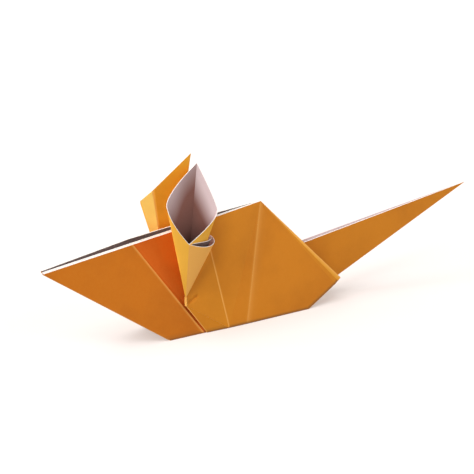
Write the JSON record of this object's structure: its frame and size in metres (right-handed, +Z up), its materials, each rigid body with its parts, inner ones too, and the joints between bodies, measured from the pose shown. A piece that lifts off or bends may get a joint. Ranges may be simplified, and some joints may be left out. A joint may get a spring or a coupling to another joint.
{
  "type": "origami mouse",
  "caption": "Folded paper mouse: a tent-shaped body with a pointed nose, open cone ears and a long pointed tail; stands on its belly folds as a paper figure.",
  "frame": {"origin": "middle of the footprint, on the surface that the belly folds stand on", "axes": "+Z up, +X from the nose to the tail along the spine, +Y from the near wall to the far wall"},
  "size_m": [0.1462, 0.017, 0.0499],
  "materials": {
    "paper": "matte, orange outside and white inside"
  },
  "bodies": {
    "root": {"folded_sheet": "paper"}
  },
  "joints": []
}
